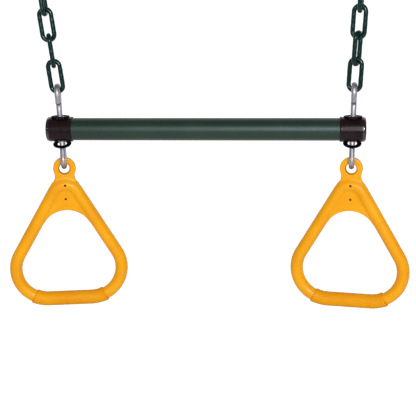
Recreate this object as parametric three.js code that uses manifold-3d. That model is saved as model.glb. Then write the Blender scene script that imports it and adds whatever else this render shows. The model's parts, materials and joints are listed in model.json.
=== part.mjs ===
// A child's trapeze swing: a capped steel bar hung on two chains, with a triangular hand ring below each end.
// Millimetres, +Z up, the bar along X, the front towards -Y.
// The origin lies above the middle of the bar, on the line between the two points that the hooks hang from.
import * as THREE from "three";
import { mergeVertices } from "three/addons/utils/BufferGeometryUtils.js";
import Module from "manifold-3d";

const wasm = await Module();
wasm.setup();

const HALF = 1 / 2;
const FULL_TURN = 2 * Math.PI;
const degrees = THREE.MathUtils.degToRad;

// Clearances that the pieces share.
const RUNNING_GAP = 0.3; // between two pieces that rest on or run in each other
const OVERRUN = 4; // how far a cutter runs past what it cuts

// The bar.
const BAR_LENGTH = 449.2; // over both caps
const TUBE_DIAMETER = 31.75;
const TUBE_WALL = 1.6;
const TUBE_HOLE_PLAY = 2.13; // round the rod, in the tube's cross hole

// The soft cap pushed over each end of the tube.
const CAP_LENGTH = 36.3;
const CAP_WALL = 1.35;
const CAP_END = 3; // thickness of the closed end
const CAP_ROUNDING = 3.5; // outer edge of the closed end
const CAP_LIP = 0.5; // small rounding of the open edge
const CAP_SEAT_DEPTH = 0.4; // flat sunk into the top of the cap for the upper washer
const CAP_SEAT_MARGIN = 0.6; // the flat is this much wider than its washer, all round

// Washers.
const WASHER_DIAMETER = 26;
const WASHER_PLAY = 2.53; // round the rod, in the washer's hole
const WASHER_THICKNESS = 1.2;
const WASHER_EDGE = 0.25;
const UPPER_WASHER_TILT = degrees(3); // it rocks back on the cap's crest
const UPPER_WASHER_LIFT = 0.2; // so that its low side clears the crest
const LOOSE_WASHER_RISE = 22.9; // of the lower washer's middle above the rod's lower eye
const LOOSE_WASHER_TILT = degrees(17.6); // its front edge hangs low

// The bent wire rod with an eye at each end.
const ROD_WIRE = 7.94;
const EYE_WIDTH = 12; // clear width inside an eye
const UPPER_EYE_RISE = 34.5; // eye centre above the cap's crest
const UPPER_BEND_DROP = 22; // from the eye's centre to where the shank starts to lean into it
const UPPER_END_DROP = 14.4; // from the eye's centre to the cut end that closes it
const UPPER_END_OFFSET = 5.5; // of that end in front of the shank's axis
const LOWER_EYE_FALL = 26; // eye centre below the cap's underside
const LOWER_BEND_RISE = 22.7;
const LOWER_END_RISE = 22.5;
const LOWER_END_OFFSET = 8; // of the lower cut end behind the shank's axis
const NECK_SOFTNESS = 4; // length over which the shank's bend is spread, each way

// The coated chain.
const LINK_WIRE = 6.8;
const LINK_INNER_LENGTH = 36.6;
const LINK_PLAY = 1.45; // between a link's inner sides and the wire of the next link

// The hook at the top of each chain.
const HOOK_WIRE = 7.94;
const HOOK_BEND = 12; // radius of the wire's centre line round each bight
const HOOK_UPPER_TIP = degrees(204); // where the open bight's wire ends, seen from its centre
const HOOK_LOWER_TIP = degrees(395); // the closed bight's end

// The hand ring. Drops are measured down from the centre of its hole.
const LUG_RADIUS = 16.2;
const LUG_THICKNESS = 8;
const LUG_HOLE_PLAY = 3.23; // round the eye's wire, in the lug's hole
const LUG_HOLE_FLARE = 2; // how much further out the hole's edge lies at each face
const LUG_FILLET = 16; // hollow outline between the lug and the shoulders
const LIMB_DIAMETER = 18.3;
const SIDE_ANGLE = degrees(30.2); // of each side from the upright
const APEX_DROP = 6.1; // where the two sides' centre lines would meet
const APEX_BEND = 18.5;
const HANDLE_DROP = 196.3;
const CORNER_BEND = 45.9;
const OPENING_BEND = 37.8; // radius of the arch over the opening
const WEB_THICKNESS = 11;
const DIMPLE_DIAMETER = 2.6;
const DIMPLE_DEPTH = 3;
const UPPER_DIMPLE_DROP = 23.9;
const LOWER_DIMPLE_DROP = 44.6;

// The grip moulded round the handle bar.
const GRIP_DIAMETER = 21.1;
const GRIP_WALL = 2.4;
const GRIP_TURN = degrees(25.6); // how far the grip runs round each corner

// How each side hangs. Leans are outwards at the top, and turns are about the upright.
// A rod's inset is from that end of the bar to where the rod crosses its axis.
const SIDES = [
  {
    side: "left",
    sign: -1,
    rodInset: 19.5,
    rodLean: degrees(2.34),
    rodRise: -0.5,
    rodTurn: degrees(7),
    chainLean: degrees(6.9),
    linkTurns: [0, 102, 0, 85].map(degrees),
    ringTurn: degrees(8.9),
  },
  {
    side: "right",
    sign: 1,
    rodInset: 18.1,
    rodLean: degrees(1.02),
    rodRise: 0.6,
    rodTurn: degrees(-3),
    chainLean: degrees(3.2),
    linkTurns: [-15, 61.5, -15, 79.4].map(degrees),
    ringTurn: degrees(-9.7),
  },
];

// How finely round shapes are cut.
const WIRE_SIDES = 8;
const LINK_STEPS = 24;
const ROD_STEPS = 46;
const HOOK_STEPS = 34;
const LIMB_SIDES = 12;
const LIMB_STEPS = 38;
const HANDLE_STEPS = 12;
const ROUND_SIDES = 32;
const WASHER_SIDES = 24;
const FILLET_STEPS = 3;
const LIP_STEPS = 6;
const ARC_STEPS = 6; // half the steps of an arc in a plate's outline
const WELD_DISTANCE = 1e-3; // vertices closer than this are one

const COLOURS = {
  tube: [0x2f4a3c, 0.45, 0.1],
  cap: [0x2b2325, 0.4, 0],
  washer: [0x11121a, 0.25, 0.3],
  zinc: [0xb7b4bd, 0.35, 0.9],
  chain: [0x213a37, 0.4, 0],
  plastic: [0xf4a524, 0.4, 0],
};

const part = new THREE.Group();

function addMesh(parent, name, geometry, finish) {
  const [color, roughness, metalness] = COLOURS[finish];
  const material = new THREE.MeshStandardMaterial({ color, roughness, metalness });
  const mesh = new THREE.Mesh(geometry, material);
  mesh.name = name;
  parent.add(mesh);
  return mesh;
}

// A closed geometry as a solid that can be joined and cut, and back.
function solid(geometry) {
  const bare = geometry.clone();
  bare.deleteAttribute("normal");
  bare.deleteAttribute("uv");
  const merged = mergeVertices(bare, WELD_DISTANCE);
  return new wasm.Manifold(
    new wasm.Mesh({
      numProp: 3,
      vertProperties: new Float32Array(merged.attributes.position.array),
      triVerts: new Uint32Array(merged.index.array),
    }),
  );
}

function geometryOf(body) {
  const mesh = body.getMesh();
  const geometry = new THREE.BufferGeometry();
  geometry.setAttribute("position", new THREE.BufferAttribute(mesh.vertProperties, mesh.numProp));
  geometry.setIndex(new THREE.BufferAttribute(mesh.triVerts, 1));
  return geometry;
}

// A flat path of lines and arcs, stood up in the XZ plane.
class StandingRoute extends THREE.Curve {
  constructor(path) {
    super();
    this.path = path;
    this.arcLengthDivisions = 400;
  }

  getPoint(t, target = new THREE.Vector3()) {
    const point = this.path.getPoint(t);
    return target.set(point.x, 0, point.y);
  }
}

// A round wire along an open path, with flat ends.
function wireAlong(path, diameter, sides, steps) {
  const outline = new THREE.Shape();
  outline.absarc(0, 0, diameter * HALF, 0, FULL_TURN, false);
  const section = new THREE.Shape(outline.getSpacedPoints(sides).slice(0, sides));
  const extrudePath = new StandingRoute(path);
  return new THREE.ExtrudeGeometry(section, { steps, bevelEnabled: false, extrudePath });
}

// A body turned about X from a half outline of [radius, place along X] points that closes on itself.
function turnedAboutX(points, sides) {
  const outline = points.map(([radius, along]) => new THREE.Vector2(radius, along));
  const geometry = new THREE.LatheGeometry(outline, sides);
  return geometry.rotateZ(-FULL_TURN / 4);
}

function uprightCylinder(diameter, bottom, top, sides) {
  const geometry = new THREE.CylinderGeometry(diameter * HALF, diameter * HALF, top - bottom, sides);
  return geometry.rotateX(FULL_TURN / 4).translate(0, 0, (bottom + top) * HALF);
}

function arcPoints(x, y, radius, from, to, steps) {
  return Array.from({ length: steps + 1 }, (_, step) => {
    const angle = from + ((to - from) * step) / steps;
    return [x + radius * Math.cos(angle), y + radius * Math.sin(angle)];
  });
}

// Sizes that several pieces share.
const TUBE_RADIUS = TUBE_DIAMETER * HALF;
const CAP_BORE_RADIUS = TUBE_RADIUS + RUNNING_GAP;
const CAP_RADIUS = CAP_BORE_RADIUS + CAP_WALL;
const SEAT_HEIGHT = CAP_RADIUS - CAP_SEAT_DEPTH;
const EYE_BEND = (EYE_WIDTH + ROD_WIRE) * HALF; // radius of the wire's centre line round an eye
const UPPER_EYE_HEIGHT = CAP_RADIUS + UPPER_EYE_RISE;
const LOWER_EYE_DROP = CAP_RADIUS + LOWER_EYE_FALL;
const LINK_BEND = LINK_WIRE + LINK_PLAY; // radius of the wire's centre line round a link's ends
const LINK_REACH = (LINK_INNER_LENGTH + LINK_WIRE) * HALF; // from a link's centre to the wire at its end
const LUG_HOLE_RADIUS = ROD_WIRE * HALF + LUG_HOLE_PLAY;
const LIMB_RADIUS = LIMB_DIAMETER * HALF;
const HANDLE_DIAMETER = GRIP_DIAMETER - 2 * (GRIP_WALL + RUNNING_GAP); // of the bar inside the grip
const SIDE_NORMAL = new THREE.Vector2(Math.cos(SIDE_ANGLE), Math.sin(SIDE_ANGLE));

// Where a rod crosses the bar's axis.
function rodPlace({ sign, rodInset }) {
  return sign * (BAR_LENGTH * HALF - rodInset);
}

// A rod's own frame: its shank up Z through the middle of the bar, tilted as it hangs.
function rodFrame(hang) {
  const { sign, rodLean, rodRise, rodTurn } = hang;
  const frame = new THREE.Group();
  frame.position.x = rodPlace(hang);
  frame.rotation.set(0, sign * rodLean, 0);
  const turned = new THREE.Group();
  turned.rotation.z = rodTurn;
  turned.position.z = rodRise;
  frame.add(turned);
  frame.updateMatrixWorld(true);
  return { frame, turned };
}

// The cutter for the hole that a rod makes through a cap or the tube.
function rodHole(hang, diameter) {
  const reach = CAP_RADIUS + OVERRUN;
  const { frame } = rodFrame(hang);
  return uprightCylinder(diameter, -reach, reach, ROUND_SIDES).applyMatrix4(frame.matrixWorld);
}

function tubeGeometry() {
  const end = BAR_LENGTH * HALF - CAP_END - RUNNING_GAP;
  const inner = TUBE_RADIUS - TUBE_WALL;
  const profile = [
    [inner, -end],
    [TUBE_RADIUS, -end],
    [TUBE_RADIUS, end],
    [inner, end],
    [inner, -end],
  ];
  let body = solid(turnedAboutX(profile, ROUND_SIDES));
  for (const hang of SIDES) {
    const reach = CAP_RADIUS + OVERRUN;
    const width = ROD_WIRE + 2 * TUBE_HOLE_PLAY;
    const hole = uprightCylinder(width, -reach, reach, ROUND_SIDES * HALF);
    body = body.subtract(solid(hole.translate(rodPlace(hang), 0, 0)));
  }
  return geometryOf(body);
}

function capGeometry(hang) {
  const end = BAR_LENGTH * HALF;
  const open = end - CAP_LENGTH;
  const shoulder = [CAP_RADIUS - CAP_ROUNDING, end - CAP_ROUNDING];
  const profile = [
    [0, end - CAP_END],
    [CAP_BORE_RADIUS, end - CAP_END],
    [CAP_BORE_RADIUS, open],
    ...arcPoints(CAP_RADIUS - CAP_LIP, open + CAP_LIP, CAP_LIP, -FULL_TURN / 4, 0, 1),
    ...arcPoints(...shoulder, CAP_ROUNDING, 0, FULL_TURN / 4, FILLET_STEPS + 1),
    [0, end],
  ];
  const turned = turnedAboutX(profile, ROUND_SIDES);
  if (hang.sign < 0) turned.rotateZ(FULL_TURN * HALF);
  const seatSize = WASHER_DIAMETER + 2 * CAP_SEAT_MARGIN;
  const seat = uprightCylinder(seatSize, SEAT_HEIGHT, CAP_RADIUS + OVERRUN, ROUND_SIDES);
  const seatCutter = solid(seat.translate(rodPlace(hang), 0, 0));
  return geometryOf(solid(turned).subtract(seatCutter).subtract(solid(rodHole(hang, ROD_WIRE + 2 * RUNNING_GAP))));
}

function washerGeometry() {
  const outer = WASHER_DIAMETER * HALF;
  const inner = ROD_WIRE * HALF + WASHER_PLAY;
  const top = WASHER_THICKNESS * HALF;
  const profile = [
    [inner, -top],
    [outer - WASHER_EDGE, -top],
    [outer, WASHER_EDGE - top],
    [outer, top - WASHER_EDGE],
    [outer - WASHER_EDGE, top],
    [inner, top],
    [inner, -top],
  ];
  const outline = profile.map(([radius, height]) => new THREE.Vector2(radius, height));
  return new THREE.LatheGeometry(outline, WASHER_SIDES).rotateX(FULL_TURN / 4);
}

// Where a straight leg from a wire's end touches an eye's bend, as an angle past the horizontal.
function touchAngle(offset, distance) {
  const leg = Math.sqrt(offset ** 2 + distance ** 2 - EYE_BEND ** 2);
  return Math.atan2(distance, offset) - Math.atan2(leg, EYE_BEND);
}

// The rod's centre line, seen from the side: x towards the back, y up. It starts at the upper cut end.
function rodPath() {
  const upper = UPPER_EYE_HEIGHT;
  const lower = -LOWER_EYE_DROP;
  const upperLean = Math.asin(EYE_BEND / UPPER_BEND_DROP);
  const lowerLean = Math.asin(EYE_BEND / LOWER_BEND_RISE);
  const upperTouch = touchAngle(UPPER_END_OFFSET, UPPER_END_DROP);
  const lowerTouch = touchAngle(LOWER_END_OFFSET, LOWER_END_RISE);
  const upperBend = upper - UPPER_BEND_DROP;
  const lowerBend = lower + LOWER_BEND_RISE;
  const soft = NECK_SOFTNESS;
  const halfTurn = FULL_TURN * HALF;
  const path = new THREE.Path();
  path.moveTo(-UPPER_END_OFFSET, upper - UPPER_END_DROP);
  path.absarc(0, upper, EYE_BEND, halfTurn + upperTouch, -upperLean, true);
  path.lineTo(soft * Math.sin(upperLean), upperBend + soft * Math.cos(upperLean));
  path.quadraticCurveTo(0, upperBend, 0, upperBend - soft);
  path.lineTo(0, lowerBend + soft);
  const leaning = [-soft * Math.sin(lowerLean), lowerBend - soft * Math.cos(lowerLean)];
  path.quadraticCurveTo(0, lowerBend, ...leaning);
  path.absarc(0, lower, EYE_BEND, halfTurn - lowerLean, FULL_TURN + lowerTouch, false);
  path.lineTo(LOWER_END_OFFSET, lower + LOWER_END_RISE);
  return path;
}

function rodGeometry() {
  const wire = wireAlong(rodPath(), ROD_WIRE, WIRE_SIDES, ROD_STEPS);
  return wire.rotateZ(FULL_TURN / 4);
}

// One chain link, standing in the XZ plane with its centre at the origin.
function linkGeometry() {
  const straight = LINK_REACH - LINK_BEND;
  const quarter = FULL_TURN / 4;
  const path = new THREE.Path();
  path.absarc(0, straight, LINK_BEND, quarter, 2 * quarter, false);
  path.absarc(0, -straight, LINK_BEND, 2 * quarter, FULL_TURN, false);
  path.absarc(0, straight, LINK_BEND, 0, quarter, false);
  const route = new StandingRoute(path);
  return new THREE.TubeGeometry(route, LINK_STEPS, LINK_WIRE * HALF, WIRE_SIDES, true);
}

// The hook, with the top of its closed bight's wire at the origin: the chain hangs there.
function hookGeometry() {
  const path = new THREE.Path();
  path.absarc(0, HOOK_BEND, HOOK_BEND, HOOK_UPPER_TIP, -FULL_TURN / 4, true);
  path.absarc(0, -HOOK_BEND, HOOK_BEND, FULL_TURN / 4, HOOK_LOWER_TIP, false);
  const wire = wireAlong(path, HOOK_WIRE, WIRE_SIDES, HOOK_STEPS);
  return wire.translate(0, 0, 2 * HOOK_BEND);
}

// The ring's outlines, in its own plane: x to the right and y up from the centre of the hole.
const CORNER_DROP = HANDLE_DROP - CORNER_BEND;
const CORNER_X =
  ((CORNER_DROP - APEX_DROP) * SIDE_NORMAL.y - CORNER_BEND) / SIDE_NORMAL.x;
const APEX_CENTRE_DROP = APEX_DROP + APEX_BEND / SIDE_NORMAL.y;
const OPENING_CENTRE_DROP =
  APEX_DROP + (LIMB_RADIUS + OPENING_BEND) / SIDE_NORMAL.y;

// The centre line of both sides, from one end of the grip over the top to the other.
function limbPath() {
  const gripEnd = FULL_TURN / 4 - GRIP_TURN;
  const right = SIDE_ANGLE;
  const left = FULL_TURN * HALF - SIDE_ANGLE;
  const path = new THREE.Path();
  path.absarc(CORNER_X, -CORNER_DROP, CORNER_BEND, -gripEnd, right, false);
  path.absarc(0, -APEX_CENTRE_DROP, APEX_BEND, right, left, false);
  path.absarc(-CORNER_X, -CORNER_DROP, CORNER_BEND, left, FULL_TURN * HALF + gripEnd, false);
  return path;
}

// The centre line of the handle bar and the grip; extra is how much further round each corner it goes.
function handlePath(extra) {
  const turn = GRIP_TURN + extra;
  const down = -FULL_TURN / 4;
  const path = new THREE.Path();
  path.absarc(-CORNER_X, -CORNER_DROP, CORNER_BEND, down - turn, down, false);
  path.absarc(CORNER_X, -CORNER_DROP, CORNER_BEND, down, down + turn, false);
  return path;
}

// The centre of the hollow fillet that touches the lug's edge and the crown of the ring.
function filletCentre() {
  const fromHole = LUG_RADIUS + LUG_FILLET;
  const fromCrown = APEX_BEND + LIMB_RADIUS + LUG_FILLET;
  const y = (fromCrown ** 2 - fromHole ** 2 - APEX_CENTRE_DROP ** 2) / (2 * APEX_CENTRE_DROP);
  return new THREE.Vector2(Math.sqrt(fromHole ** 2 - y ** 2), y);
}

function lugShape() {
  const centre = filletCentre();
  const onLug = Math.atan2(centre.y, centre.x);
  const onCrown = Math.atan2(centre.y + APEX_CENTRE_DROP, centre.x);
  const halfTurn = FULL_TURN * HALF;
  const shape = new THREE.Shape();
  const inside = new THREE.Vector2(Math.cos(onCrown), Math.sin(onCrown)).multiplyScalar(APEX_BEND);
  shape.moveTo(inside.x, inside.y - APEX_CENTRE_DROP);
  shape.absarc(centre.x, centre.y, LUG_FILLET, onCrown + halfTurn, onLug + halfTurn, true);
  shape.absarc(0, 0, LUG_RADIUS, onLug, halfTurn - onLug, false);
  shape.absarc(-centre.x, centre.y, LUG_FILLET, -onLug, -onCrown, true);
  shape.lineTo(-inside.x, inside.y - APEX_CENTRE_DROP);
  return shape;
}

function webShape() {
  const reach = OPENING_BEND + LIMB_RADIUS;
  const right = SIDE_ANGLE;
  const left = FULL_TURN * HALF - SIDE_ANGLE;
  const shape = new THREE.Shape();
  shape.moveTo(reach * SIDE_NORMAL.x, reach * SIDE_NORMAL.y - OPENING_CENTRE_DROP);
  shape.absarc(0, -APEX_CENTRE_DROP, APEX_BEND, right, left, false);
  shape.lineTo(-reach * SIDE_NORMAL.x, reach * SIDE_NORMAL.y - OPENING_CENTRE_DROP);
  shape.absarc(0, -OPENING_CENTRE_DROP, OPENING_BEND, left, right, true);
  return shape;
}

// A plate cut from a shape and stood up in the XZ plane about its middle.
function standingPlate(shape, thickness, curveSegments) {
  const points = shape.getPoints(curveSegments);
  const apart = points.filter((point, index) => {
    const next = points[(index + 1) % points.length];
    return point.distanceTo(next) > WELD_DISTANCE;
  });
  const options = { depth: thickness, bevelEnabled: false };
  const plate = new THREE.ExtrudeGeometry(new THREE.Shape(apart), options);
  return plate.translate(0, 0, -thickness * HALF).rotateX(FULL_TURN / 4);
}

// The cutter for the lug's hole, narrowest in the middle and widening in a curve to both faces.
function lugHoleCutter() {
  const half = LUG_THICKNESS * HALF;
  const curve = (half ** 2 + LUG_HOLE_FLARE ** 2) / (2 * LUG_HOLE_FLARE);
  const lip = Math.atan2(half, curve - LUG_HOLE_FLARE);
  const wall = arcPoints(LUG_HOLE_RADIUS + curve, 0, -curve, lip, -lip, LIP_STEPS);
  const [wide] = wall[0];
  const far = half + OVERRUN;
  const outline = [[0, -far], [wide, -far], ...wall, [wide, far], [0, far]];
  return new THREE.LatheGeometry(
    outline.map(([radius, place]) => new THREE.Vector2(radius, place)),
    ROUND_SIDES,
  );
}

// A small blind hole in the front face; surface is how far that face stands from the middle.
function dimpleCutter(drop, surface) {
  const length = DIMPLE_DEPTH + OVERRUN;
  const radius = DIMPLE_DIAMETER * HALF;
  const cutter = new THREE.CylinderGeometry(radius, radius, length, WIRE_SIDES);
  return cutter.translate(0, DIMPLE_DEPTH - surface - length * HALF, -drop);
}

function ringGeometry() {
  const overlap = LIMB_DIAMETER / CORNER_BEND;
  const handle = wireAlong(handlePath(overlap), HANDLE_DIAMETER, LIMB_SIDES, HANDLE_STEPS);
  const body = solid(wireAlong(limbPath(), LIMB_DIAMETER, LIMB_SIDES, LIMB_STEPS))
    .add(solid(handle))
    .add(solid(standingPlate(lugShape(), LUG_THICKNESS, ARC_STEPS)))
    .add(solid(standingPlate(webShape(), WEB_THICKNESS, ARC_STEPS)))
    .subtract(solid(lugHoleCutter()))
    .subtract(solid(dimpleCutter(UPPER_DIMPLE_DROP, LIMB_RADIUS)))
    .subtract(solid(dimpleCutter(LOWER_DIMPLE_DROP, WEB_THICKNESS * HALF)));
  return geometryOf(body);
}

function gripGeometry() {
  const inset = -RUNNING_GAP / CORNER_BEND;
  const past = OVERRUN / CORNER_BEND;
  const sleeve = wireAlong(handlePath(inset), GRIP_DIAMETER, LIMB_SIDES, HANDLE_STEPS);
  const bore = HANDLE_DIAMETER + 2 * RUNNING_GAP;
  const core = wireAlong(handlePath(inset + past), bore, LIMB_SIDES, HANDLE_STEPS);
  return geometryOf(solid(sleeve).subtract(solid(core)));
}

// Points along a hanging side, in the bar's frame.
function along(point, direction, distance) {
  return point.clone().addScaledVector(direction, distance);
}

function addHangingSide(bar, hang) {
  const { side, sign, chainLean, linkTurns, ringTurn } = hang;
  const { frame, turned } = rodFrame(hang);
  bar.add(frame);
  addMesh(turned, `rod_${side}`, rodGeometry(), "zinc");

  const loose = addMesh(turned, `lower_washer_${side}`, washerGeometry(), "washer");
  loose.position.z = LOOSE_WASHER_RISE - LOWER_EYE_DROP;
  loose.rotation.x = LOOSE_WASHER_TILT;

  // The ring's hole hangs on the wire at the bottom of the lower eye.
  const lowerWire = turned.localToWorld(new THREE.Vector3(0, 0, -LOWER_EYE_DROP - EYE_BEND));
  const ring = new THREE.Group();
  const holeDrop = LUG_HOLE_PLAY - RUNNING_GAP;
  ring.position.copy(lowerWire);
  ring.position.z -= holeDrop;
  ring.rotation.z = ringTurn;
  bar.add(ring);
  addMesh(ring, `ring_${side}`, ringGeometry(), "plastic");
  addMesh(ring, `ring_grip_${side}`, gripGeometry(), "plastic");

  // The chain climbs from the wire at the top of the upper eye.
  const upwards = new THREE.Vector3(sign * Math.sin(chainLean), 0, Math.cos(chainLean));
  const upperWire = turned.localToWorld(new THREE.Vector3(0, 0, UPPER_EYE_HEIGHT + EYE_BEND));
  const fromEye = (ROD_WIRE + LINK_WIRE) * HALF + RUNNING_GAP;
  let bottom = along(upperWire, upwards, -fromEye);
  linkTurns.forEach((turn, index) => {
    const holder = new THREE.Group();
    holder.position.copy(along(bottom, upwards, LINK_REACH));
    holder.rotation.y = sign * chainLean;
    bar.add(holder);
    const link = addMesh(holder, `chain_link_${side}_${index + 1}`, linkGeometry(), "chain");
    link.rotation.z = turn;
    const next = 2 * LINK_REACH - LINK_WIRE - RUNNING_GAP;
    bottom = along(bottom, upwards, next);
  });

  // The top link's upper wire lies on the hook's lower bight.
  const topWire = along(bottom, upwards, LINK_WIRE + RUNNING_GAP);
  const fromHook = (HOOK_WIRE + LINK_WIRE) * HALF + RUNNING_GAP;
  const hook = new THREE.Group();
  hook.position.copy(along(topWire, upwards, -fromHook));
  hook.rotation.y = sign * chainLean;
  bar.add(hook);
  addMesh(hook, `s_hook_${side}`, hookGeometry(), "zinc");
  return along(hook.position, upwards, 2 * 2 * HOOK_BEND - HOOK_WIRE * HALF);
}

const bar = new THREE.Group();
addMesh(bar, "bar_tube", tubeGeometry(), "tube");
for (const hang of SIDES) {
  addMesh(bar, `cap_${hang.side}`, capGeometry(hang), "cap");
  const washer = addMesh(bar, `upper_washer_${hang.side}`, washerGeometry(), "washer");
  const underside = SEAT_HEIGHT + RUNNING_GAP + UPPER_WASHER_LIFT;
  washer.position.set(rodPlace(hang), 0, underside + WASHER_THICKNESS * HALF);
  washer.rotation.x = -UPPER_WASHER_TILT;
}

// The whole part is placed by the line between the two points that the hooks hang from.
const [left, right] = SIDES.map((hang) => addHangingSide(bar, hang));
const share = -left.x / (right.x - left.x);
bar.position.z = -(left.z + share * (right.z - left.z));
part.add(bar);

export default part;
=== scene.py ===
# Looks of the trapeze bar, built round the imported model. Sizes are in millimetres until a mesh is made.
import itertools
import json
import math

import bmesh
import bpy
import numpy as np
from mathutils import Matrix, Vector


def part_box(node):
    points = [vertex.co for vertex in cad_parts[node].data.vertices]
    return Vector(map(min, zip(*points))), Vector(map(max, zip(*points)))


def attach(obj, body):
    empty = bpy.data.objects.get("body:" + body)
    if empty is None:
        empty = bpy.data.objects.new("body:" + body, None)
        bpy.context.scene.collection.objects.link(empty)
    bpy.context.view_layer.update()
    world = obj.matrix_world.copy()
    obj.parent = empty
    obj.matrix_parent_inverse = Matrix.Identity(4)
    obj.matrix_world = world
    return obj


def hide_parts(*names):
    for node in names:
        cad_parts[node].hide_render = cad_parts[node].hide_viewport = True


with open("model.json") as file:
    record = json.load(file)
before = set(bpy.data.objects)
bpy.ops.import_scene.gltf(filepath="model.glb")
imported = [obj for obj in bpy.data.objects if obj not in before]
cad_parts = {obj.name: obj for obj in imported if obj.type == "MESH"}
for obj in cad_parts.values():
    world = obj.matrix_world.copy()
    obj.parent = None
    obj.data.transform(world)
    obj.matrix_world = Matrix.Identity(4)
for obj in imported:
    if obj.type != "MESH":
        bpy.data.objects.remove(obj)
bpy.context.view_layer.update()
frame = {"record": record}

MM = 0.001

# Sizes shared with the construction.
RUNNING_GAP = 0.3  # between two pieces that rest on or run in each other
BAR_LENGTH = 449.2
TUBE_DIAMETER = 31.75
TUBE_WALL = 1.6
CAP_LENGTH = 36.3
CAP_WALL = 1.35
CAP_END = 3
CAP_ROUNDING = 3.5
CAP_SEAT_DEPTH = 0.4  # of the flat under the upper washer
WASHER_DIAMETER = 26
WASHER_PLAY = 2.53  # round the rod, in the washer's hole
WASHER_THICKNESS = 1.2
UPPER_WASHER_TILT = math.radians(3)
UPPER_WASHER_LIFT = 0.2
LOOSE_WASHER_RISE = 22.9  # above the middle of the lower eye
LOOSE_WASHER_TILT = math.radians(17.6)
ROD_WIRE = 7.94
TUBE_HOLE_PLAY = 2.13  # round the rod, in the tube's cross hole
EYE_WIDTH = 12  # clear width inside an eye
UPPER_EYE_RISE = 34.5  # of the eye's middle above the cap's crest
UPPER_BEND_DROP = 22  # from the eye's middle to where the shank starts to lean into it
UPPER_END_DROP = 14.4  # from the eye's middle to the cut end that closes it
UPPER_END_OFFSET = 5.5  # of that end from the shank's axis
LOWER_EYE_FALL = 26  # of the eye's middle below the cap's underside
LOWER_BEND_RISE = 22.7
LOWER_END_RISE = 22.5
LOWER_END_OFFSET = 8
NECK_SOFTNESS = 4  # length over which the shank's bends are spread, each way
LINK_WIRE = 6.8
LINK_INNER_LENGTH = 36.6
LINK_PLAY = 1.45  # between a link's inner sides and the next link's wire
HOOK_WIRE = 7.94
HOOK_BEND = 12
HOOK_UPPER_TIP = math.radians(204)
HOOK_LOWER_TIP = math.radians(395)
LUG_RADIUS = 16.2
LUG_THICKNESS = 8
LUG_HOLE_PLAY = 3.23  # round the eye's wire
LUG_HOLE_FLARE = 2  # how much wider the hole is at each face, all round
LUG_FILLET = 16  # hollow outline between the lug and the shoulders
LIMB_DIAMETER = 18.3
SIDE_ANGLE = math.radians(30.2)  # of each side from the upright
APEX_DROP = 6.1  # where the middles of the two sides would meet
APEX_BEND = 18.5
HANDLE_DROP = 196.3
CORNER_BEND = 45.9
OPENING_BEND = 37.8  # of the arch over the opening
WEB_THICKNESS = 11
DIMPLE_DIAMETER = 2.6
DIMPLE_DEPTH = 3
UPPER_DIMPLE_DROP = 23.9
LOWER_DIMPLE_DROP = 44.6
GRIP_DIAMETER = 21.1
GRIP_WALL = 2.4
GRIP_TURN = math.radians(25.6)  # how far the grip runs round each corner

# How each side hangs, as in the construction, and the seeds of its uneven surfaces.
SIDES = {
    "left": {
        "sign": -1,
        "rod_inset": 19.5,
        "rod_lean": math.radians(2.34),
        "rod_rise": -0.5,
        "rod_turn": math.radians(7),
        "chain_lean": math.radians(6.9),
        "link_turns": [math.radians(turn) for turn in (0, 102, 0, 85)],
        "link_seed": 10,
        "ring_turn": math.radians(8.9),
        "grip_seed": 4,
    },
    "right": {
        "sign": 1,
        "rod_inset": 18.1,
        "rod_lean": math.radians(1.02),
        "rod_rise": 0.6,
        "rod_turn": math.radians(-3),
        "chain_lean": math.radians(3.2),
        "link_turns": [math.radians(turn) for turn in (-15, 61.5, -15, 79.4)],
        "link_seed": 30,
        "ring_turn": math.radians(-9.7),
        "grip_seed": 6,
    },
}

# Sizes that follow from them.
TUBE_RADIUS = TUBE_DIAMETER / 2
CAP_BORE_RADIUS = TUBE_RADIUS + RUNNING_GAP
CAP_RADIUS = CAP_BORE_RADIUS + CAP_WALL
SEAT_HEIGHT = CAP_RADIUS - CAP_SEAT_DEPTH
EYE_BEND = (EYE_WIDTH + ROD_WIRE) / 2
UPPER_EYE_HEIGHT = CAP_RADIUS + UPPER_EYE_RISE
LOWER_EYE_DROP = CAP_RADIUS + LOWER_EYE_FALL
LINK_BEND = LINK_WIRE + LINK_PLAY
LINK_REACH = (LINK_INNER_LENGTH + LINK_WIRE) / 2
LUG_HOLE_RADIUS = ROD_WIRE / 2 + LUG_HOLE_PLAY
LIMB_RADIUS = LIMB_DIAMETER / 2
HANDLE_DIAMETER = GRIP_DIAMETER - 2 * (GRIP_WALL + RUNNING_GAP)
CORNER_DROP = HANDLE_DROP - CORNER_BEND
CORNER_X = ((CORNER_DROP - APEX_DROP) * math.sin(SIDE_ANGLE) - CORNER_BEND) / math.cos(SIDE_ANGLE)
APEX_CENTRE_DROP = APEX_DROP + APEX_BEND / math.sin(SIDE_ANGLE)
OPENING_CENTRE_DROP = APEX_DROP + (LIMB_RADIUS + OPENING_BEND) / math.sin(SIDE_ANGLE)

for side in SIDES.values():
    side["rod_x"] = side["sign"] * (BAR_LENGTH / 2 - side["rod_inset"])

tube_low, tube_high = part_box("bar_tube")
BAR_CENTRE = (tube_low + tube_high) / 2

# The photographed view. Its target is counted from the middle of the bar.
VIEW_AZIMUTH = math.radians(4.314)
VIEW_ELEVATION = math.radians(15.426)
VIEW_ROLL = math.radians(-0.827)
VIEW_DISTANCE = 1672.2
VIEW_TARGET = Vector((2.53, 0, -114.95))
LENS_SHARE = 1167 / 416  # focal length over the picture's width
SENSOR_WIDTH = 36


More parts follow.
